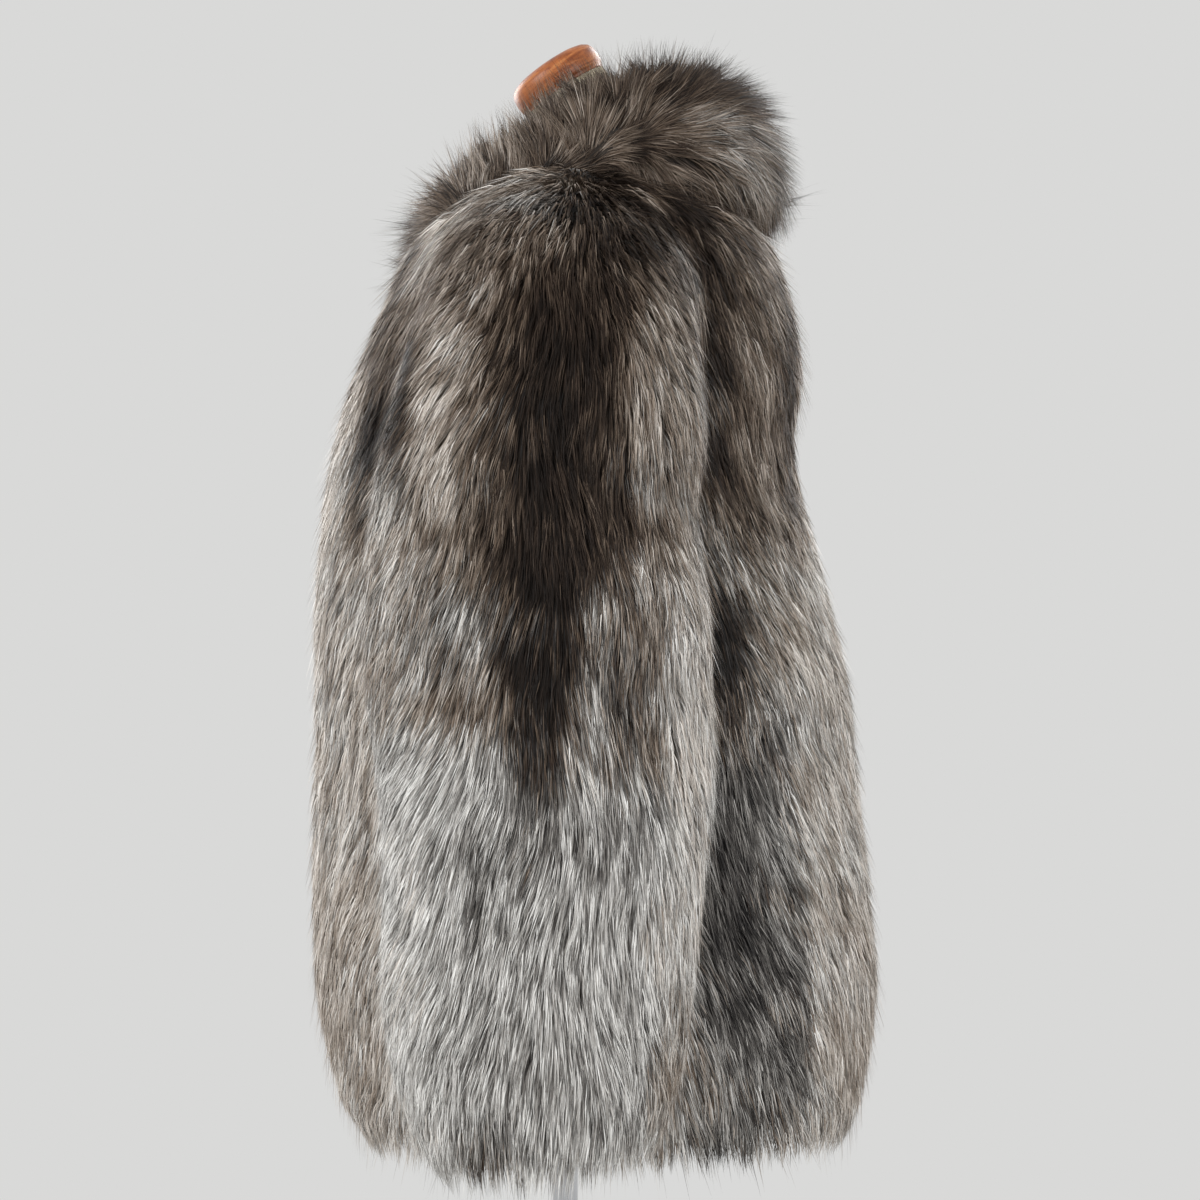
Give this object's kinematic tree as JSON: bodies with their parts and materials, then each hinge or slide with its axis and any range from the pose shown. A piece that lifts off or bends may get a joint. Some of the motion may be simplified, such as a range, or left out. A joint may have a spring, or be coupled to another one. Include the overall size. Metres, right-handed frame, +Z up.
{
  "type": "fur coat on a dress form",
  "caption": "Long-haired fur jacket with a wide turned-down collar and full straight sleeves, resting on a limbless dress form with a wooden neck cap, pole and round base.",
  "frame": {"origin": "centre of the base plate's underside, on the pole's axis", "axes": "+Z up, -Y the way the coat's front faces, +X towards the wearer's left"},
  "size_m": [0.65, 0.417, 1.3968],
  "materials": {
    "fur_body": "silver fox guard hair with dark spine bands",
    "fur_sleeve": "silver fox guard hair with a dark spine stripe",
    "fur_collar": "silver fox guard hair with dark tips",
    "linen": "unbleached linen stretched smooth",
    "varnished_beech": "turned, stained and varnished",
    "chrome": "polished",
    "base_steel": "satin"
  },
  "bodies": {
    "root": {"back": "fur_body", "front_left": "fur_body", "front_right": "fur_body", "sleeve_left": "fur_sleeve", "sleeve_right": "fur_sleeve", "collar": "fur_collar", "form_torso": "linen", "neck_cap": "varnished_beech", "pole": "chrome", "base": "base_steel"}
  },
  "joints": []
}
